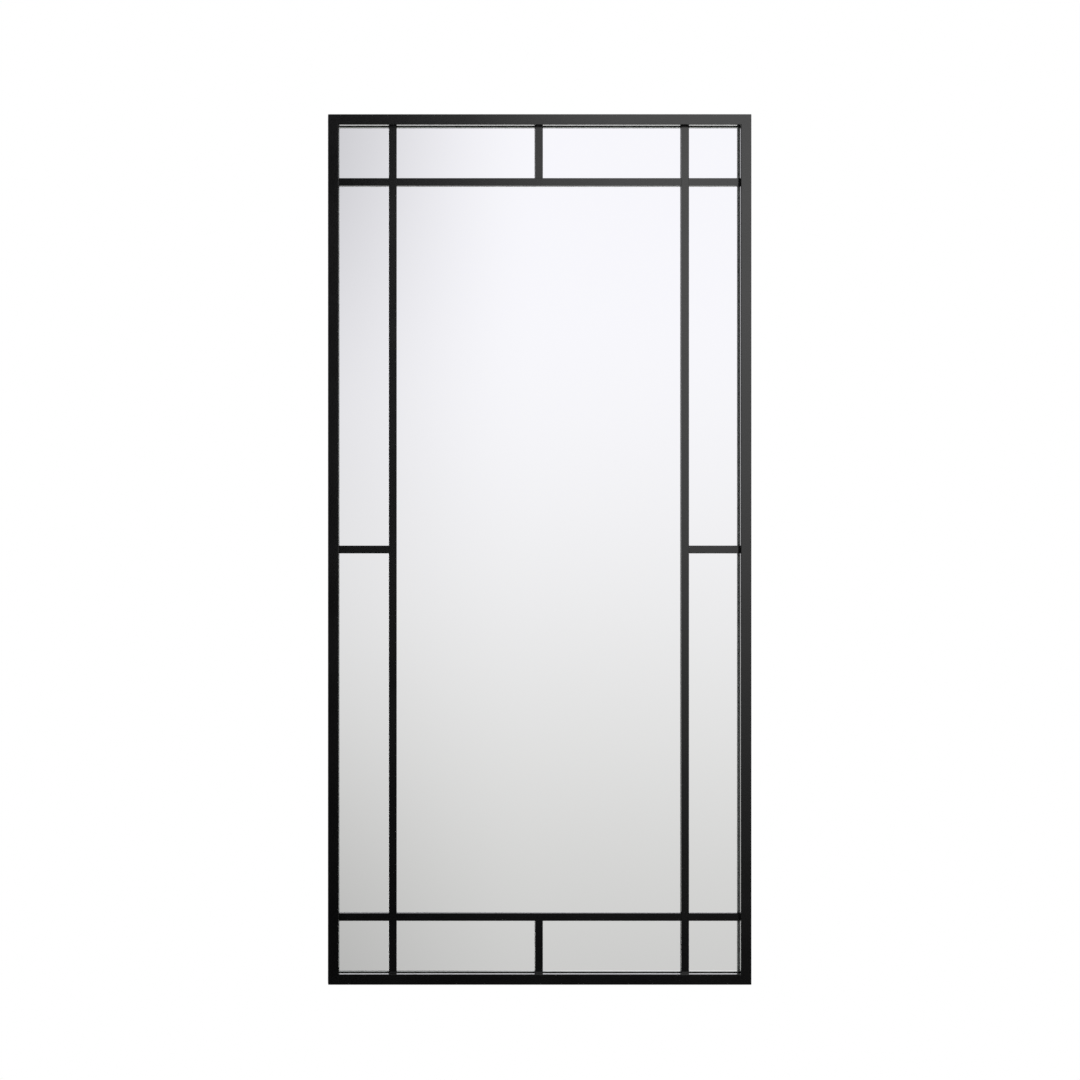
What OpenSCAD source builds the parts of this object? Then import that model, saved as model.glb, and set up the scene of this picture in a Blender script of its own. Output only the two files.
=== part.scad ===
// Tall rectangular wall mirror in a black steel frame, with a grid of flat bars laid over the glass.
// X runs across the mirror, the front faces -Y and +Z is up. The wall is the plane y = 0.
// The origin lies on the wall, midway between the two wall hooks that carry the mirror.

/* [Frame] */
// Overall width of the frame
frame_w = 800; // [650:10:1000]
// Overall height of the frame
frame_h = 1645; // [1400:5:2000]
// Width of the tube's front face
tube_face = 20; // [18:1:30]
// Depth of the tube from front to back
tube_depth = 20; // [19:1:30]
// Wall thickness of the tube
tube_wall = 1.2; // [1:0.1:1.6]
// Radius along the tube's outer edges
tube_edge_r = 1; // [0.5:0.1:3]
// Radius ground on the four outer corners of the frame
corner_r = 2; // [1:0.5:4]

/* [Bars] */
// Width of the flat bars of the grid
bar_w = 15; // [12:0.5:20]
// Thickness of the flat bars
bar_t = 3; // [2:0.5:4]
// Radius along the rolled edges of the flat bars
bar_edge_r = 0.5; // [0.2:0.1:0.8]
// Depth of the bars' front faces behind the frame's front face
bar_setback = 10; // [5:0.5:11]
// Frame's outer edge to the middle of a long upright bar
long_bar_inset = 123; // [80:1:200]
// Frame's outer edge to the middle of a cross bar
cross_bar_inset = 126; // [80:2:300]

/* [Mirror glass] */
// Thickness of the mirror glass
glass_t = 4; // [3:0.5:5]
// Gap between the glass and the tubes all round
glass_gap = 1; // [0.8:0.1:3]
// Ground bevel on the edges of the glass
glass_arris = 0.4; // [0.2:0.1:1]
// Thickness of the foam tape between the bars and the glass
tape_t = 1; // [0.5:0.1:1.5]
// Width of the foam tape
tape_w = 10; // [6:0.5:12]
// Distance that the tape stops short of each end of its bar
tape_end_gap = 3; // [2:0.5:10]
// Length of the rubber blocks that centre the glass
block_l = 60; // [30:5:100]
// Width of the foam strips behind the glass
foam_w = 20; // [10:1:40]
// Distance from the edge of the glass to the foam strips
foam_edge = 3; // [2:0.5:20]

/* [Back board] */
// Thickness of the hardboard back
board_t = 3; // [2.5:0.5:5]
// Distance from the frame's outer edge to the board's edge
board_inset = 6; // [4:0.5:8]
// Radius of the board's corners
board_corner_r = 4; // [2:1:20]
// Thread diameter of the board screws
board_screw_d = 3.5; // [2.9:0.1:4]
// Length of the board screws under the head
board_screw_l = 9.5; // [8:0.5:12]
// Head diameter of the board screws
board_screw_head_d = 7; // [6:0.2:8]
// Head height of the board screws
board_screw_head_h = 2.2; // [1.6:0.1:2.6]
// Largest distance between two board screws
board_screw_pitch = 300; // [200:10:400]
// First board screw to the corner of the board
board_screw_end = 60; // [30:5:100]
// Diameter of the rubber bumpers
bumper_d = 20; // [12:1:30]
// Height of the rubber bumpers, which sets the gap behind the mirror
bumper_h = 8; // [7:0.5:15]
// Board's edges to the middle of a bumper
bumper_inset = 35; // [30:1:80]

/* [Hangers] */
// Top edge of the frame down to the wall hooks
hook_drop = 250; // [150:10:400]
// Width of the hanger straps
strap_w = 12; // [10:0.5:13]
// Thickness of the hanger straps
strap_t = 1.2; // [1:0.1:1.5]
// Distance between the two screws of a strap
strap_hole_pitch = 14; // [12:0.5:30]
// Lower screw to the rounded end of the strap
strap_end = 6; // [5:0.5:10]
// Diameter of the ring wire
ring_wire_d = 3; // [2.5:0.1:3.2]
// Width of the ring between the middles of its two legs
ring_w = 18; // [17:0.5:22]
// Hinge line to the middle of the ring's bow
ring_reach = 17; // [14:0.5:24]
// Bend radius at the ring's two corners
ring_corner_r = 2.2; // [1.8:0.1:2.4]
// Thread diameter of the strap screws
strap_screw_d = 4.2; // [3.5:0.1:4.5]
// Length of the strap screws under the head
strap_screw_l = 13; // [10:0.5:16]
// Head diameter of the strap screws
strap_screw_head_d = 8; // [7:0.2:8.5]
// Head height of the strap screws
strap_screw_head_h = 2.5; // [2:0.1:3]

/* [Clearances] */
// Gap round the ring wire in the rolled eye of its strap
eye_gap = 0.3; // [0.2:0.05:0.5]
// Gap round a screw in the back wall of a tube
thread_gap = 0.05; // [0.02:0.01:0.1]
// Gap round a screw in the board or a strap
screw_gap = 0.25; // [0.15:0.05:0.4]
// Gap between the ring's bow and the head of the upper strap screw
bow_gap = 1.5; // [1:0.5:4]
// Free length of stile between a strap and the next board screw
strap_row_gap = 40; // [20:5:100]

/* [Hidden] */
$fn = 64;

// Planes from back to front
board_back_y = -bumper_h;
tube_back_y = board_back_y - board_t;
frame_front_y = tube_back_y - tube_depth;
bar_front_y = frame_front_y + bar_setback;
bar_back_y = bar_front_y + bar_t;
glass_front_y = bar_back_y + tape_t;
glass_back_y = glass_front_y + glass_t;
tube_mid_y = (tube_back_y + frame_front_y) / 2;
tube_bore_r = max(tube_edge_r - tube_wall, 0.2);
foam_t = tube_back_y - glass_back_y;

// Frame opening, its middle, and the grid inside it
opening_w = frame_w - 2 * tube_face;
opening_h = frame_h - 2 * tube_face;
mid_z = hook_drop - frame_h / 2;
long_bar_x = frame_w / 2 - long_bar_inset;
cross_bar_z = frame_h / 2 - cross_bar_inset;
stub_l = opening_w / 2 - long_bar_x - bar_w / 2;
stub_x = (opening_w - stub_l) / 2;
cross_bar_l = 2 * long_bar_x - bar_w;
centre_bar_l = opening_h / 2 - cross_bar_z - bar_w / 2;
centre_bar_z = (opening_h - centre_bar_l) / 2;

glass_w = opening_w - 2 * glass_gap;
glass_h = opening_h - 2 * glass_gap;
block_t = glass_t - 2 * glass_arris;
foam_span_w = glass_w - 2 * foam_edge;
foam_span_h = glass_h - 2 * foam_edge;

board_w = frame_w - 2 * board_inset;
board_h = frame_h - 2 * board_inset;
// Screws run down the middle of what the board covers of each tube
screw_edge = (board_inset + tube_face) / 2;
screw_x = frame_w / 2 - screw_edge;
screw_z = frame_h / 2 - screw_edge;

// The ring hangs from the rolled eye. Raised, the inside of its bow rests on the wall hook at z = 0.
eye_r_in = ring_wire_d / 2 + eye_gap;
eye_r_out = eye_r_in + strap_t;
pivot_y = board_back_y + eye_r_out;
pivot_z = -(ring_reach - ring_wire_d / 2);
upper_hole_drop = ring_reach + ring_wire_d / 2 + bow_gap + strap_screw_head_d / 2;
lower_hole_drop = upper_hole_drop + strap_hole_pitch;
strap_l = lower_hole_drop + strap_end;

row_top = mid_z + board_h / 2 - board_screw_end;
row_bottom = mid_z - board_h / 2 + board_screw_end;
row_above_strap = pivot_z + strap_row_gap;
row_below_strap = pivot_z - strap_l - strap_row_gap;
side_screw_z = concat(
    spaced(row_above_strap, row_top, board_screw_pitch),
    spaced(row_bottom, row_below_strap, board_screw_pitch)
);
end_screw_x = spaced(-board_w / 2 + board_screw_end, board_w / 2 - board_screw_end, board_screw_pitch);

// Length by which a cutting shape passes the face that it cuts
over = 1;

// Evenly spaced places from a to b, no further apart than pitch
function spaced(a, b, pitch) =
    let (steps = max(1, ceil(abs(b - a) / pitch)))
    [for (i = [0 : steps]) a + (b - a) * i / steps];

// Outline of a mitred side: u runs along the tube, v outwards from the frame's middle
function mitre_outline(along, across) = [
    [-along / 2 - over, across / 2 + over],
    [along / 2 + over, across / 2 + over],
    [along / 2 - tube_face - over, across / 2 - tube_face - over],
    [-along / 2 + tube_face + over, across / 2 - tube_face - over]
];

// Rectangle with its four corners cut at 45 degrees
function chamfered(w, t, c) = [
    [-w / 2 + c, -t / 2], [w / 2 - c, -t / 2],
    [w / 2, -t / 2 + c], [w / 2, t / 2 - c],
    [w / 2 - c, t / 2], [-w / 2 + c, t / 2],
    [-w / 2, t / 2 - c], [-w / 2, -t / 2 + c]
];

module rounded_rect(w, h, r) {
    square([w - 2 * r, h], center = true);
    square([w, h - 2 * r], center = true);
    for (x = [-1, 1], y = [-1, 1])
        translate([x * (w / 2 - r), y * (h / 2 - r)])
            circle(r = r);
}

// Placement helpers: an upright or level run whose profile has its own depth in Y
module upright_run(x, z, length) {
    translate([x, 0, mid_z + z])
        linear_extrude(length, center = true)
            children();
}

module level_run(x, z, length) {
    translate([x, 0, mid_z + z])
        rotate([0, 90, 0])
            linear_extrude(length, center = true)
                children();
}

// A flat outline drawn in X and Z, reaching from y_back forwards by depth
module plate(y_back, depth) {
    translate([0, y_back, 0])
        rotate([90, 0, 0])
            linear_extrude(depth)
                children();
}

module tube_profile() {
    difference() {
        rounded_rect(tube_face, tube_depth, tube_edge_r);
        rounded_rect(tube_face - 2 * tube_wall, tube_depth - 2 * tube_wall, tube_bore_r);
    }
}

// One side of the frame, running along X at the top, about the frame's middle
module mitred_tube(along, across) {
    intersection() {
        translate([0, tube_mid_y, (across - tube_face) / 2])
            rotate([0, 90, 0])
                linear_extrude(along + 2 * over, center = true)
                    tube_profile();
        plate(tube_back_y + over, tube_depth + 2 * over)
            intersection() {
                polygon(mitre_outline(along, across));
                rounded_rect(along, across, corner_r);
            }
    }
}

// Drill for the back wall of a tube, or for the board and a strap in front of it
module back_hole(x, z, d, y_back, depth) {
    translate([x, y_back, z])
        rotate([90, 0, 0])
            cylinder(d = d, h = depth);
}

// Holes that the screws cut in the back wall of a tube
module tube_hole(x, z, d) {
    back_hole(x, z, d + 2 * thread_gap, tube_back_y + over, tube_wall + 2 * over);
}

module rail(up) {
    difference() {
        translate([0, 0, mid_z])
            mirror([0, 0, up > 0 ? 0 : 1])
                mitred_tube(frame_w, frame_h);
        for (x = end_screw_x)
            tube_hole(x, mid_z + up * screw_z, board_screw_d);
    }
}

module stile(side) {
    difference() {
        translate([0, 0, mid_z])
            rotate([0, side * 90, 0])
                mitred_tube(frame_h, frame_w);
        for (z = side_screw_z)
            tube_hole(side * screw_x, z, board_screw_d);
        for (drop = [upper_hole_drop, lower_hole_drop])
            tube_hole(side * screw_x, pivot_z - drop, strap_screw_d);
    }
}

module top_rail() {
    color("#1c1c1e") rail(1);
}

module bottom_rail() {
    color("#1c1c1e") rail(-1);
}

module left_stile() {
    color("#1c1c1e") stile(-1);
}

module right_stile() {
    color("#1c1c1e") stile(1);
}

module bar_profile() {
    translate([0, bar_front_y + bar_t / 2])
        rounded_rect(bar_w, bar_t, bar_edge_r);
}

module long_bar(side) {
    color("#262628")
        upright_run(side * long_bar_x, 0, opening_h)
            bar_profile();
}

module cross_bar(up) {
    color("#262628")
        level_run(0, up * cross_bar_z, cross_bar_l)
            bar_profile();
}

// Short level bar between a stile and its long bar
module stub(side, z) {
    color("#262628")
        level_run(side * stub_x, z, stub_l)
            bar_profile();
}

// Short upright bar between a rail and its cross bar
module centre_bar(up) {
    color("#262628")
        upright_run(0, up * centre_bar_z, centre_bar_l)
            bar_profile();
}

module left_long_bar() long_bar(-1);
module right_long_bar() long_bar(1);
module top_cross_bar() cross_bar(1);
module bottom_cross_bar() cross_bar(-1);
module top_left_stub() stub(-1, cross_bar_z);
module top_right_stub() stub(1, cross_bar_z);
module bottom_left_stub() stub(-1, -cross_bar_z);
module bottom_right_stub() stub(1, -cross_bar_z);
module left_mid_bar() stub(-1, 0);
module right_mid_bar() stub(1, 0);
module top_centre_bar() centre_bar(1);
module bottom_centre_bar() centre_bar(-1);

module tape_profile() {
    translate([0, bar_back_y + tape_t / 2])
        square([tape_w, tape_t], center = true);
}

// A strip of foam tape behind every bar
module glazing_tape() {
    shorter = 2 * tape_end_gap;
    color("#3a3a3a") {
        for (side = [-1, 1]) {
            upright_run(side * long_bar_x, 0, opening_h - shorter)
                tape_profile();
            for (z = [-cross_bar_z, 0, cross_bar_z])
                level_run(side * stub_x, z, stub_l - shorter)
                    tape_profile();
        }
        for (up = [-1, 1]) {
            level_run(0, up * cross_bar_z, cross_bar_l - shorter)
                tape_profile();
            upright_run(0, up * centre_bar_z, centre_bar_l - shorter)
                tape_profile();
        }
    }
}

module mirror_glass() {
    glass_mid_y = (glass_front_y + glass_back_y) / 2;
    color("#dfe3e6")
        intersection() {
            upright_run(0, 0, glass_h)
                translate([0, glass_mid_y])
                    polygon(chamfered(glass_w, glass_t, glass_arris));
            level_run(0, 0, glass_w)
                translate([0, glass_mid_y])
                    polygon(chamfered(glass_h, glass_t, glass_arris));
        }
}

// Small hard blocks in the gap round the glass: it stands on the lower two
module setting_blocks() {
    block_back_y = glass_back_y - glass_arris;
    color("#2e2e2e")
        for (a = [-1, 1], b = [-1, 1]) {
            translate([a * opening_w / 4, 0, mid_z + b * (opening_h - glass_gap) / 2])
                plate(block_back_y, block_t)
                    square([block_l, glass_gap], center = true);
            translate([a * (opening_w - glass_gap) / 2, 0, mid_z + b * opening_h / 4])
                plate(block_back_y, block_t)
                    square([glass_gap, block_l], center = true);
        }
}

// Foam strips that press the glass forwards against the tape
module foam_strips() {
    color("#55585c")
        translate([0, 0, mid_z])
            plate(tube_back_y, foam_t) {
                for (side = [-1, 1])
                    translate([side * (foam_span_w - foam_w) / 2, 0])
                        square([foam_w, foam_span_h], center = true);
                for (up = [-1, 1])
                    translate([0, up * (foam_span_h - foam_w) / 2])
                        square([foam_span_w - 2 * foam_w - 2 * foam_edge, foam_w], center = true);
                square([foam_w, foam_span_h - 2 * foam_w - 2 * foam_edge], center = true);
            }
}

module back_board() {
    color("#7a5a3c")
        difference() {
            translate([0, 0, mid_z])
                plate(board_back_y, board_t)
                    rounded_rect(board_w, board_h, board_corner_r);
            board_holes(board_screw_d, strap_screw_d);
        }
}

module board_holes(edge_d, strap_d) {
    depth = board_t + 2 * over;
    y_back = board_back_y + over;
    for (side = [-1, 1]) {
        for (z = side_screw_z)
            back_hole(side * screw_x, z, edge_d + 2 * screw_gap, y_back, depth);
        for (drop = [upper_hole_drop, lower_hole_drop])
            back_hole(side * screw_x, pivot_z - drop, strap_d + 2 * screw_gap, y_back, depth);
        for (x = end_screw_x)
            back_hole(x, mid_z + side * screw_z, edge_d + 2 * screw_gap, y_back, depth);
    }
}

// Self-tapping screw with a pan head and a cross recess. The head stands on z = 0 and the point is down.
module pan_screw(d, length, head_d, head_h) {
    round_r = head_h * 0.45;
    point_l = d * 0.9;
    recess_w = head_d * 0.13;
    recess_l = head_d * 0.55;
    recess_depth = head_h * 0.55;
    difference() {
        rotate_extrude() {
            square([head_d / 2 - round_r, head_h]);
            square([head_d / 2, head_h - round_r]);
            translate([head_d / 2 - round_r, head_h - round_r])
                circle(r = round_r);
        }
        translate([0, 0, head_h])
            for (turn = [0, 90])
                rotate([0, 0, turn])
                    cube([recess_l, recess_w, 2 * recess_depth], center = true);
    }
    translate([0, 0, -length + point_l])
        cylinder(d = d, h = length - point_l);
    translate([0, 0, -length])
        cylinder(d1 = d * 0.15, d2 = d, h = point_l);
}

// Screw through the back at x and z, with its head seated on seat_y and its recess turned
module back_screw(x, z, seat_y, turn) {
    translate([x, seat_y, z])
        rotate([-90, 0, 0])
            rotate([0, 0, turn])
                children();
}

module board_screws() {
    // Turn from one screw to the next, so that the recesses don't line up
    turn = 37;
    color("#b9bcc0") {
        for (side = [-1, 1]) {
            for (i = [0 : len(side_screw_z) - 1])
                back_screw(side * screw_x, side_screw_z[i], board_back_y, turn * i)
                    board_screw();
            for (i = [0 : len(end_screw_x) - 1])
                back_screw(end_screw_x[i], mid_z + side * screw_z, board_back_y, turn * i)
                    board_screw();
        }
    }
}

module board_screw() {
    pan_screw(board_screw_d, board_screw_l, board_screw_head_d, board_screw_head_h);
}

module hanger_screws() {
    color("#c9b06a")
        for (side = [-1, 1], drop = [upper_hole_drop, lower_hole_drop])
            back_screw(side * screw_x, pivot_z - drop, board_back_y + strap_t, side * drop)
                pan_screw(strap_screw_d, strap_screw_l, strap_screw_head_d, strap_screw_head_h);
}

// Side view of a strap, with x towards the wall and y up: a plate whose top is rolled into an eye
module strap_side_view() {
    // The roll stops this far short of the plate, in degrees round the eye
    slit_from = 222;
    slit_to = 250;
    reach = 2 * eye_r_out;
    translate([0, -strap_l])
        square([strap_t, strap_l]);
    translate([eye_r_out, 0])
        difference() {
            circle(r = eye_r_out);
            circle(r = eye_r_in);
            polygon([
                [0, 0],
                reach * [cos(slit_from), sin(slit_from)],
                reach * [cos(slit_to), sin(slit_to)]
            ]);
        }
}

module hanger_strap(side) {
    depth = 2 * eye_r_out + 2 * over;
    color("#c9ccd0")
        difference() {
            intersection() {
                translate([side * screw_x, board_back_y, pivot_z])
                    rotate([90, 0, 90])
                        linear_extrude(strap_w, center = true)
                            strap_side_view();
                translate([side * screw_x, 0, pivot_z])
                    plate(board_back_y + depth - over, depth)
                        strap_front_view();
            }
            for (drop = [upper_hole_drop, lower_hole_drop])
                back_hole(side * screw_x, pivot_z - drop, strap_screw_d + 2 * screw_gap,
                    board_back_y + strap_t + over, strap_t + 2 * over);
        }
}

// Front view of a strap: straight sides and a half-round lower end
module strap_front_view() {
    end_z = -strap_l + strap_w / 2;
    top_z = eye_r_out + over;
    translate([-strap_w / 2, end_z])
        square([strap_w, top_z - end_z]);
    translate([0, end_z])
        circle(d = strap_w);
}

// Ring of bent wire, hanging down from its hinge line along X
module d_ring() {
    half_w = ring_w / 2;
    wire_r = ring_wire_d / 2;
    bow_z = -(ring_reach - half_w);
    corner_x = half_w - ring_corner_r;
    rotate([0, 90, 0])
        cylinder(r = wire_r, h = 2 * corner_x, center = true);
    for (flip = [0, 1])
        mirror([flip, 0, 0]) {
            translate([corner_x, 0, -ring_corner_r])
                rotate([90, 0, 0])
                    rotate_extrude(angle = 90)
                        translate([ring_corner_r, 0])
                            circle(r = wire_r);
            translate([half_w, 0, bow_z])
                cylinder(r = wire_r, h = -ring_corner_r - bow_z);
        }
    translate([0, 0, bow_z])
        rotate([90, 0, 0])
            rotate([0, 0, 180])
                rotate_extrude(angle = 180)
                    translate([half_w, 0])
                        circle(r = wire_r);
}

module hanging_ring(side) {
    color("#d5d7da")
        translate([side * screw_x, pivot_y, pivot_z])
            d_ring();
}

module left_hanger_strap() hanger_strap(-1);
module right_hanger_strap() hanger_strap(1);
module left_hanging_ring() hanging_ring(-1);
module right_hanging_ring() hanging_ring(1);

// Rubber bumper, stuck on the board: slightly tapered, with a rounded rim round its flat face
module bumper(side, up) {
    base_r = bumper_d / 2;
    rim_r = 1.5;
    taper = 1;
    face_r = base_r - taper;
    color("#2b2b2b")
        translate([side * (board_w / 2 - bumper_inset), board_back_y, mid_z + up * (board_h / 2 - bumper_inset)])
            rotate([-90, 0, 0])
                rotate_extrude() {
                    polygon([
                        [0, 0], [base_r, 0], [face_r, bumper_h - rim_r], [face_r - rim_r, bumper_h], [0, bumper_h]
                    ]);
                    translate([face_r - rim_r, bumper_h - rim_r])
                        circle(r = rim_r);
                }
}

module top_left_bumper() bumper(-1, 1);
module top_right_bumper() bumper(1, 1);
module bottom_left_bumper() bumper(-1, -1);
module bottom_right_bumper() bumper(1, -1);

top_rail();
bottom_rail();
left_stile();
right_stile();
left_long_bar();
right_long_bar();
top_cross_bar();
bottom_cross_bar();
top_left_stub();
top_right_stub();
bottom_left_stub();
bottom_right_stub();
top_centre_bar();
bottom_centre_bar();
left_mid_bar();
right_mid_bar();
glazing_tape();
mirror_glass();
setting_blocks();
foam_strips();
back_board();
board_screws();
left_hanger_strap();
right_hanger_strap();
hanger_screws();
left_hanging_ring();
right_hanging_ring();
top_left_bumper();
top_right_bumper();
bottom_left_bumper();
bottom_right_bumper();
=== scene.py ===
"""Looks of a tall rectangular wall mirror in a black steel frame, for Blender 4.5.

Everything is in metres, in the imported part's own frame: the front faces -Y, the wall is y = 0 and +Z is up.
"""

import math

import bmesh
import bpy
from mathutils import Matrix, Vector


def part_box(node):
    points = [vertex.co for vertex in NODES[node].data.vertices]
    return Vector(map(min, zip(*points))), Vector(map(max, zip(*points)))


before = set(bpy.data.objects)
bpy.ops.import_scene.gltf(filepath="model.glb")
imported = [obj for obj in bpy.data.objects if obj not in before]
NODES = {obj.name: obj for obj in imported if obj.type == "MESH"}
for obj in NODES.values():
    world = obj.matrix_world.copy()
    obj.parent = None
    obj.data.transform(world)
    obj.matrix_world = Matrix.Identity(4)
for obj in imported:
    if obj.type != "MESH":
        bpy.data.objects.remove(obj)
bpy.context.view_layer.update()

FRAME_TUBES = ["top_rail", "bottom_rail", "left_stile", "right_stile"]
FLAT_BARS = [
    "left_long_bar", "right_long_bar", "top_cross_bar", "bottom_cross_bar",
    "top_left_stub", "top_right_stub", "bottom_left_stub", "bottom_right_stub",
    "left_mid_bar", "right_mid_bar", "top_centre_bar", "bottom_centre_bar",
]
BUMPERS = ["top_left_bumper", "top_right_bumper", "bottom_left_bumper", "bottom_right_bumper"]

# The frame's front plane and its middle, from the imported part
frame_low = Vector((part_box("left_stile")[0].x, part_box("left_stile")[0].y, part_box("bottom_rail")[0].z))
frame_high = Vector((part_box("right_stile")[1].x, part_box("left_stile")[1].y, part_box("top_rail")[1].z))
FRONT_Y = frame_low.y
MID_X = (frame_low.x + frame_high.x) / 2
MID_Z = (frame_low.z + frame_high.z) / 2

# The photograph: square, the mirror's middle in it, its scale at the frame's front plane, and its camera,
# which stands level with the mirror's middle and to the left of it
IMAGE_PX = 1080
PHOTO_MID_X_PX = 539.8
PHOTO_MID_Y_PX = 549.5
PX_PER_M = 529.4
CAMERA_DISTANCE = 3.0
CAMERA_LEFT = 0.47
SENSOR_MM = 36.0

# Black powder coat
PAINT_BLACK = (0.0010, 0.0010, 0.0011)
PAINT_ROUGHNESS = 0.180
PAINT_SPECULAR = 0.375
COAT_IOR = 1.11
PEBBLE_HEIGHT = 0.000014

# Glass: the width of its ground rim, and half the width of the fade between ground and clear
GROUND_RIM = 0.0010
HALF_FADE = 0.0001
GROUND_COLOUR = (0.60, 0.65, 0.62)
SILVER_COLOUR = (0.955, 0.96, 0.962)

# Hardboard colours
BOARD_BROWN = (0.150, 0.078, 0.038)
BOARD_WARM = (0.170, 0.090, 0.045)
BOARD_CLUMP = (0.085, 0.042, 0.020)
BOARD_FIBRE = (0.260, 0.150, 0.080)
BOARD_FLECK = (0.040, 0.020, 0.011)

# Levels of the surroundings, where 1 is white
WHITE = 1.0
ON_DULL_SURFACES = 0.65
GROUND_LEVEL = 0.85

# What the mirror shows, by the direction of the ray: spans of X or Z, some with the levels at their two ends
LEFT_TO_RIGHT = (-0.027, 0.155)
LEFT_RISE = ((-0.326, 0.006), (0.42, 0.78))
LEFT_FALL = ((0.076, 0.283), (0.0, 0.23))
RIGHT_RISE = ((-0.441, 0.156), (0.52, 0.989))
TO_GROUND = (-0.3, -0.65)
REFLECTED_TWICE = ((-0.25, 0.0), (1.4, 2.4))
BETWEEN_ONCE_AND_TWICE = 1.5
TINT_SPAN = (-0.234, 0.216)
LOW_TINT = (1.004, 1.0, 0.985)
HIGH_TINT = (0.990, 0.982, 1.025)

# What satin paint and metal see: the sides and the room behind the mirror, in the same way
FRONT_TO_SIDES = ((-0.6, -0.15), (0.0, 0.8))
SIDES_TO_BEHIND = (0.0, 0.35)
BEHIND_RISE = ((-0.5, 0.65), (0.15, 1.7))

# The soft panel in front: for each of its edges the axis, the span in which it fades in, and the level inside
PANEL_EDGES = [
    ("X", (0.08, 0.18), 1.0),
    ("X", (0.65, 0.5), 1.0),
    ("Z", (-0.258, 0.197), 1.0),
    ("Z", (0.8, 0.5), 2.6),
    ("Y", (-0.3, -0.6), 1.0),
]

# The floor: its drop below the frame, its size, the distances from its middle between which it fades out,
# and how far the camera sees it turned to white
FLOOR_DROP = 0.6
FLOOR_RADIUS = 3.0
FLOOR_SIDES = 96
FLOOR_FADE = (0.7, 1.25)
FLOOR_COLOUR = (0.86, 0.86, 0.86)
FLOOR_WHITENED = 0.6


class Shader:
    """A node tree under construction. Most methods add a node and return its output."""

    def __init__(self, tree):
        self.nodes = tree.nodes
        self.links = tree.links
        self.nodes.clear()

    def add(self, kind, **values):
        """Adds a node and returns the node itself."""
        node = self.nodes.new(kind)
        for name, value in values.items():
            setattr(node, name, value)
        return node

    def feed(self, socket, value):
        """Links an output to the socket, or sets a plain value on it."""
        if isinstance(value, bpy.types.NodeSocket):
            self.links.new(value, socket)
        elif value is not None:
            socket.default_value = value

    def math(self, operation, a, b=None):
        node = self.add("ShaderNodeMath", operation=operation)
        self.feed(node.inputs[0], a)
        self.feed(node.inputs[1], b)
        return node.outputs[0]

    def ramp(self, value, span, levels=(0.0, 1.0), kind="SMOOTHSTEP"):
        """Takes a value from one level to the other as it crosses the span."""
        node = self.add("ShaderNodeMapRange", interpolation_type=kind, clamp=True)
        self.feed(node.inputs["Value"], value)
        for name, end in zip(("From Min", "From Max", "To Min", "To Max"), (*span, *levels)):
            self.feed(node.inputs[name], end)
        return node.outputs[0]

    def roughness(self, noise, smooth, dull):
        """A roughness that drifts with the noise."""
        return self.ramp(noise, (0.3, 0.7), (smooth, dull), "LINEAR")

    def mix(self, factor, a, b):
        node = self.add("ShaderNodeMix", data_type="FLOAT")
        self.feed(node.inputs[0], factor)
        self.feed(node.inputs[2], a)
        self.feed(node.inputs[3], b)
        return node.outputs[0]

    def mix_colour(self, factor, a, b):
        node = self.add("ShaderNodeMix", data_type="RGBA")
        self.feed(node.inputs[0], factor)
        self.feed(node.inputs[6], a)
        self.feed(node.inputs[7], b)
        return node.outputs[2]

    def noise(self, vector, scale, detail, rough=0.5):
        node = self.add("ShaderNodeTexNoise")
        self.feed(node.inputs["Vector"], vector)
        self.feed(node.inputs["Scale"], scale)
        self.feed(node.inputs["Detail"], detail)
        self.feed(node.inputs["Roughness"], rough)
        return node.outputs["Fac"]

    def voronoi(self, vector, scale):
        node = self.add("ShaderNodeTexVoronoi")
        self.feed(node.inputs["Vector"], vector)
        self.feed(node.inputs["Scale"], scale)
        return node.outputs["Distance"]

    def place(self, scale=(1.0, 1.0, 1.0), turn=0.0):
        """Object coordinates in metres, stretched, and turned about Y by some degrees."""
        coords = self.add("ShaderNodeTexCoord")
        node = self.add("ShaderNodeMapping")
        self.feed(node.inputs["Vector"], coords.outputs["Object"])
        self.feed(node.inputs["Scale"], scale)
        self.feed(node.inputs["Rotation"], (0.0, math.radians(turn), 0.0))
        return node.outputs[0]

    def split(self, vector):
        """The outputs X, Y and Z of a vector."""
        node = self.add("ShaderNodeSeparateXYZ")
        self.feed(node.inputs[0], vector)
        return node.outputs

    def bump(self, height, strength, distance):
        node = self.add("ShaderNodeBump")
        self.feed(node.inputs["Height"], height)
        self.feed(node.inputs["Strength"], strength)
        self.feed(node.inputs["Distance"], distance)
        return node.outputs[0]

    def surface(self, shader, output="ShaderNodeOutputMaterial"):
        """Ends the tree with what its surface shows."""
        self.links.new(shader, self.add(output).inputs["Surface"])

    def principled(self, **values):
        """Ends the tree with a principled surface. An underscore in a name stands for a space."""
        node = self.add("ShaderNodeBsdfPrincipled")
        for name, value in values.items():
            self.feed(node.inputs[name.replace("_", " ")], value)
        self.surface(node.outputs[0])


def new_material(name):
    material = bpy.data.materials.new(name)
    material.use_nodes = True
    return material, Shader(material.node_tree)


def rgba(colour, factor=1.0):
    """An opaque colour, made lighter or darker by the factor."""
    return (*[c * factor for c in colour], 1.0)


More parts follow.
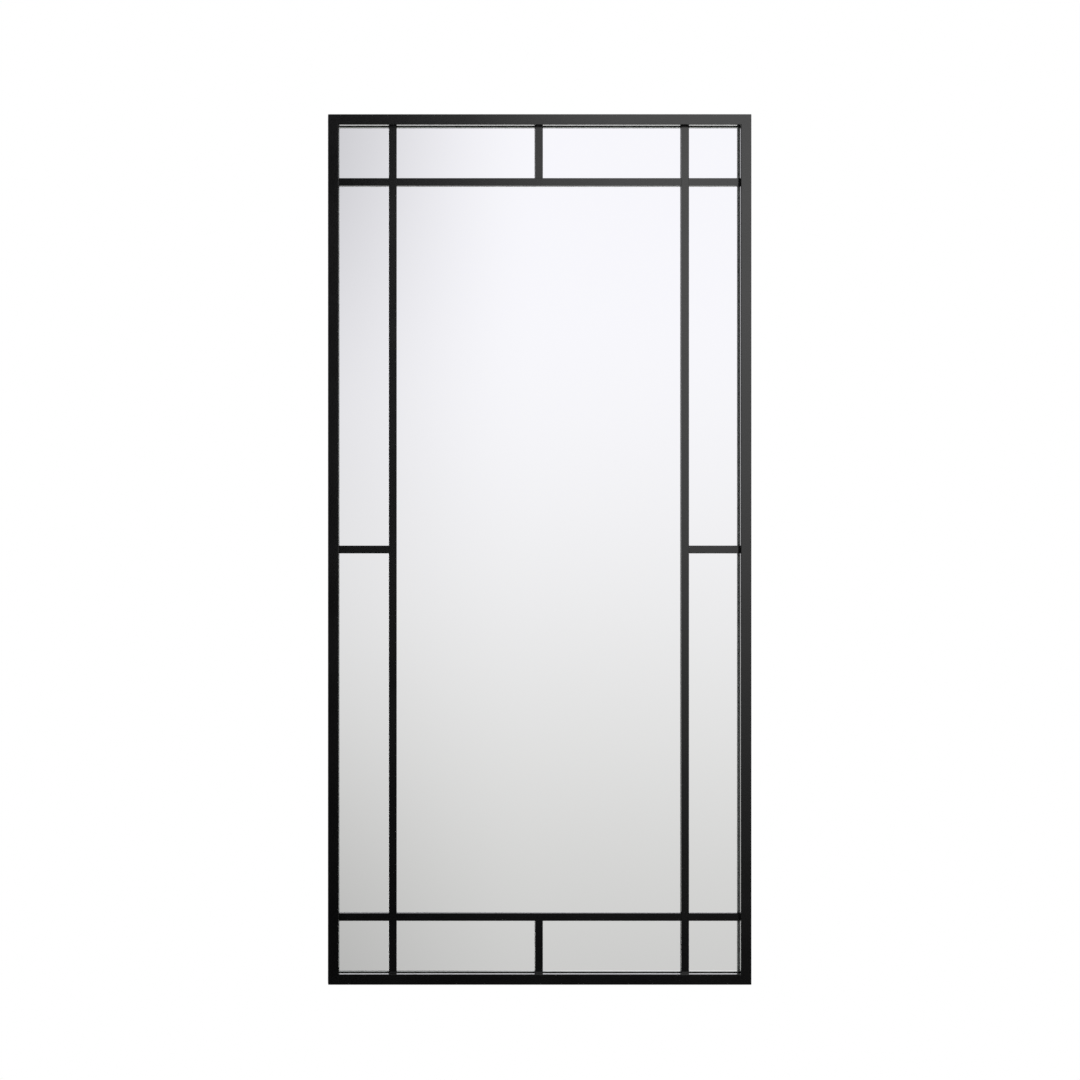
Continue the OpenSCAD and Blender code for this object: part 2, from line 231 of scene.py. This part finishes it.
def black_powder_coat(name):
    """Semi-gloss black powder coat: finely pebbled, with a slow change of gloss and a thin smooth top layer
    that shows only at a grazing angle."""
    material, s = new_material(name)
    where = s.place()
    pebble = s.noise(where, scale=2200.0, detail=2.0)
    peel = s.noise(where, scale=500.0, detail=1.0)
    drift = s.noise(where, scale=9.0, detail=3.0)
    height = s.math("ADD", pebble, s.math("MULTIPLY", peel, 0.8))
    s.principled(
        Base_Color=s.mix_colour(s.ramp(drift, (0.35, 0.65)), rgba(PAINT_BLACK), rgba(PAINT_BLACK, 1.5)),
        Roughness=s.roughness(drift, PAINT_ROUGHNESS - 0.015, PAINT_ROUGHNESS + 0.02),
        Normal=s.bump(height, strength=1.0, distance=PEBBLE_HEIGHT),
        Specular_IOR_Level=PAINT_SPECULAR,
        Coat_Weight=1.0,
        Coat_Roughness=0.0,
        Coat_IOR=COAT_IOR,
    )
    return material


def silvered_glass():
    """Clear silvered glass with a hint of float wave, and a pale ground rim."""
    material, s = new_material("silvered_glass")
    where = s.place()
    axes = s.split(where)
    low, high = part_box("mirror_glass")
    off_x = s.math("ABSOLUTE", s.math("SUBTRACT", axes["X"], (low.x + high.x) / 2))
    off_z = s.math("ABSOLUTE", s.math("SUBTRACT", axes["Z"], (low.z + high.z) / 2))
    from_side = s.math("SUBTRACT", (high.x - low.x) / 2, off_x)
    from_end = s.math("SUBTRACT", (high.z - low.z) / 2, off_z)
    from_rim = s.math("MINIMUM", from_side, from_end)
    clear = s.ramp(from_rim, (GROUND_RIM - HALF_FADE, GROUND_RIM + HALF_FADE))
    wave = s.noise(where, scale=2.2, detail=1.0)
    s.principled(
        Base_Color=s.mix_colour(clear, rgba(GROUND_COLOUR), rgba(SILVER_COLOUR)),
        Metallic=clear,
        Roughness=s.mix(clear, 0.5, 0.0),
        Normal=s.bump(wave, strength=0.04, distance=0.0004),
    )
    return material


def plated_steel(name, colour, roughness, grain_scale, tint=None):
    """Zinc plate: bright metal with fine grain, dull patches and, where asked, a second tint."""
    material, s = new_material(name)
    where = s.place()
    patch = s.noise(where, scale=grain_scale * 0.12, detail=4.0, rough=0.6)
    grain = s.noise(where, scale=grain_scale, detail=2.0)
    second = rgba(tint) if tint else rgba(colour, 0.82)
    s.principled(
        Base_Color=s.mix_colour(s.ramp(patch, (0.4, 0.65)), rgba(colour), second),
        Metallic=1.0,
        Roughness=s.roughness(patch, roughness - 0.06, roughness + 0.1),
        Normal=s.bump(grain, strength=0.12, distance=0.00004),
    )
    return material


def matt_rubber(name, colour, roughness):
    """Matt rubber or foam, with a fine grain and paler patches of dust."""
    material, s = new_material(name)
    where = s.place()
    grain = s.noise(where, scale=1400.0, detail=3.0)
    dust = s.noise(where, scale=160.0, detail=4.0)
    s.principled(
        Base_Color=s.mix_colour(s.ramp(dust, (0.5, 0.75)), rgba(colour), rgba(colour, 1.8)),
        Roughness=s.roughness(dust, roughness - 0.05, roughness + 0.08),
        Normal=s.bump(grain, strength=0.3, distance=0.00008),
        Specular_IOR_Level=0.35,
    )
    return material


def hardboard():
    """Brown hardboard, smooth side out: pressed fibres, darker flecks and broad mottling."""
    material, s = new_material("hardboard")
    mottle = s.noise(s.place(), scale=2.5, detail=2.0, rough=0.4)
    clump = s.noise(s.place((1.0, 1.0, 0.4), turn=15), scale=90.0, detail=4.0, rough=0.65)
    fibre = s.noise(s.place((1.0, 1.0, 0.25), turn=20), scale=700.0, detail=5.0, rough=0.7)
    cross = s.noise(s.place((0.25, 1.0, 1.0), turn=30), scale=560.0, detail=4.0, rough=0.7)
    fleck = s.voronoi(s.place((1.0, 1.0, 0.45), turn=-35), scale=170.0)
    pale = s.math("MAXIMUM", fibre, cross)
    base = s.mix_colour(s.ramp(mottle, (0.3, 0.7)), rgba(BOARD_BROWN), rgba(BOARD_WARM))
    base = s.mix_colour(s.ramp(clump, (0.42, 0.72), (0.0, 0.5)), base, rgba(BOARD_CLUMP))
    base = s.mix_colour(s.ramp(pale, (0.5, 0.75), (0.0, 0.7)), base, rgba(BOARD_FIBRE))
    base = s.mix_colour(s.ramp(fleck, (0.02, 0.16), (0.75, 0.0)), base, rgba(BOARD_FLECK))
    s.principled(
        Base_Color=base,
        Roughness=s.roughness(clump, 0.38, 0.52),
        Normal=s.bump(s.math("ADD", fibre, cross), strength=0.2, distance=0.00008),
    )
    return material


def dress(names, material):
    for name in names:
        for slot in NODES[name].material_slots:
            slot.material = material


def dress_nodes():
    """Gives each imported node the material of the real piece."""
    dress(FRAME_TUBES, black_powder_coat("frame_paint"))
    dress(FLAT_BARS, black_powder_coat("bar_paint"))
    dress(["mirror_glass"], silvered_glass())
    dress(["back_board"], hardboard())

    strap_zinc = plated_steel("strap_zinc", colour=(0.62, 0.63, 0.65), roughness=0.38, grain_scale=900.0)
    screw_zinc = plated_steel("screw_zinc", colour=(0.66, 0.67, 0.69), roughness=0.30, grain_scale=1500.0)
    yellow_zinc = plated_steel(
        "yellow_zinc", colour=(0.72, 0.58, 0.30), roughness=0.30, grain_scale=1500.0, tint=(0.62, 0.60, 0.38)
    )
    ring_zinc = plated_steel("ring_zinc", colour=(0.70, 0.71, 0.73), roughness=0.24, grain_scale=1200.0)
    dress(["left_hanger_strap", "right_hanger_strap"], strap_zinc)
    dress(["board_screws"], screw_zinc)
    dress(["hanger_screws"], yellow_zinc)
    dress(["left_hanging_ring", "right_hanging_ring"], ring_zinc)

    dress(BUMPERS, matt_rubber("bumper_rubber", colour=(0.014, 0.014, 0.014), roughness=0.62))
    dress(["glazing_tape"], matt_rubber("tape_foam", colour=(0.010, 0.010, 0.010), roughness=0.85))
    dress(["foam_strips"], matt_rubber("packing_foam", colour=(0.060, 0.062, 0.066), roughness=0.9))
    dress(["setting_blocks"], matt_rubber("block_rubber", colour=(0.012, 0.012, 0.012), roughness=0.7))


def studio_world():
    """White to the camera. The mirror shows a soft gradient, brightest up and to the right, and a brighter one
    where it reflects for the second time. Satin surfaces see a dark front with one soft panel, up and to the
    right, then pale sides, and behind the mirror a room that is dark below and bright above."""
    world = bpy.data.worlds.new("studio")
    bpy.context.scene.world = world
    world.use_nodes = True
    s = Shader(world.node_tree)
    axes = s.split(s.add("ShaderNodeTexCoord").outputs["Generated"])
    path = s.add("ShaderNodeLightPath").outputs

    left = s.math("SUBTRACT", s.ramp(axes["Z"], *LEFT_RISE), s.ramp(axes["Z"], *LEFT_FALL))
    gradient = s.mix(s.ramp(axes["X"], LEFT_TO_RIGHT), left, s.ramp(axes["Z"], *RIGHT_RISE))
    once = s.mix(s.ramp(axes["Z"], TO_GROUND), gradient, GROUND_LEVEL)
    is_twice = s.math("GREATER_THAN", path["Glossy Depth"], BETWEEN_ONCE_AND_TWICE)
    sharp = s.mix(is_twice, once, s.ramp(axes["X"], *REFLECTED_TWICE))

    sides = s.ramp(axes["Y"], *FRONT_TO_SIDES)
    around = s.mix(s.ramp(axes["Y"], SIDES_TO_BEHIND), sides, s.ramp(axes["Z"], *BEHIND_RISE))
    edges = [s.ramp(axes[axis], span, (0.0, level)) for axis, span, level in PANEL_EDGES]
    panel = edges[0]
    for edge in edges[1:]:
        panel = s.math("MULTIPLY", panel, edge)
    satin = s.math("ADD", around, panel)

    level = s.mix(path["Is Glossy Ray"], ON_DULL_SURFACES, satin)
    level = s.mix(path["Is Singular Ray"], level, sharp)
    level = s.mix(path["Is Camera Ray"], level, WHITE)
    tint = s.mix_colour(s.ramp(axes["Z"], TINT_SPAN), rgba(LOW_TINT), rgba(HIGH_TINT))
    tint = s.mix_colour(path["Is Singular Ray"], rgba((1.0, 1.0, 1.0)), tint)
    background = s.add("ShaderNodeBackground")
    s.feed(background.inputs["Color"], tint)
    s.feed(background.inputs["Strength"], level)
    s.surface(background.outputs[0], "ShaderNodeOutputWorld")


def floor_material():
    """Pale and dull. The camera sees it whitened, and away from the middle it fades out to nothing."""
    material, s = new_material("floor")
    length = s.add("ShaderNodeVectorMath", operation="LENGTH")
    s.feed(length.inputs[0], s.place())
    fade = s.ramp(length.outputs["Value"], FLOOR_FADE)
    pale = s.add("ShaderNodeBsdfDiffuse")
    s.feed(pale.inputs["Color"], rgba(FLOOR_COLOUR))
    white = s.add("ShaderNodeEmission")
    s.feed(white.inputs["Strength"], WHITE)
    to_camera = s.add("ShaderNodeLightPath").outputs["Is Camera Ray"]
    shown = s.add("ShaderNodeMixShader")
    s.feed(shown.inputs[0], s.math("MULTIPLY", to_camera, FLOOR_WHITENED))
    s.feed(shown.inputs[1], pale.outputs[0])
    s.feed(shown.inputs[2], white.outputs[0])
    faded = s.add("ShaderNodeMixShader")
    s.feed(faded.inputs[0], fade)
    s.feed(faded.inputs[1], shown.outputs[0])
    s.feed(faded.inputs[2], s.add("ShaderNodeBsdfTransparent").outputs[0])
    s.surface(faded.outputs[0])
    return material


def pale_floor():
    """A round floor below the mirror, for its soft shadow."""
    mesh = bpy.data.meshes.new("floor")
    form = bmesh.new()
    bmesh.ops.create_circle(form, cap_ends=True, segments=FLOOR_SIDES, radius=FLOOR_RADIUS)
    form.to_mesh(mesh)
    form.free()
    mesh.materials.append(floor_material())
    floor = bpy.data.objects.new("floor", mesh)
    floor.location = (0.0, 0.0, frame_low.z - FLOOR_DROP)
    bpy.context.scene.collection.objects.link(floor)


def soft_lamp(name, place, target, size, power):
    """A rectangular lamp for dull surfaces. Glossy rays pass it by, so the mirror shows no hard patch."""
    light = bpy.data.lights.new(name, "AREA")
    light.shape = "RECTANGLE"
    light.size, light.size_y = size
    light.energy = power
    lamp = bpy.data.objects.new(name, light)
    lamp.visible_glossy = False
    lamp.location = place
    lamp.rotation_euler = (Vector(target) - Vector(place)).to_track_quat("-Z", "Y").to_euler()
    bpy.context.scene.collection.objects.link(lamp)


def photo_camera():
    """Image plane parallel to the mirror, set left of its middle, with the lens shifted back onto it."""
    plane_width = IMAGE_PX / PX_PER_M
    centre_x = MID_X + (IMAGE_PX / 2 - PHOTO_MID_X_PX) / PX_PER_M
    centre_z = MID_Z + (PHOTO_MID_Y_PX - IMAGE_PX / 2) / PX_PER_M
    eye = Vector((MID_X - CAMERA_LEFT, FRONT_Y - CAMERA_DISTANCE, MID_Z))
    data = bpy.data.cameras.new("camera")
    data.sensor_width = SENSOR_MM
    data.lens = SENSOR_MM * CAMERA_DISTANCE / plane_width
    data.shift_x = (centre_x - eye.x) / plane_width
    data.shift_y = (centre_z - eye.z) / plane_width
    camera = bpy.data.objects.new("camera", data)
    camera.location = eye
    camera.rotation_euler = (math.radians(90), 0.0, 0.0)
    bpy.context.scene.collection.objects.link(camera)
    bpy.context.scene.camera = camera


dress_nodes()
photo_camera()
studio_world()
pale_floor()
soft_lamp("key", place=(1.4, -2.4, 0.6), target=(0.0, FRONT_Y, MID_Z), size=(1.4, 1.8), power=32.0)
soft_lamp("back", place=(-1.5, 3.0, 1.5), target=(0.0, 0.0, MID_Z), size=(2.0, 2.0), power=60.0)

bpy.context.scene.view_settings.view_transform = "Standard"
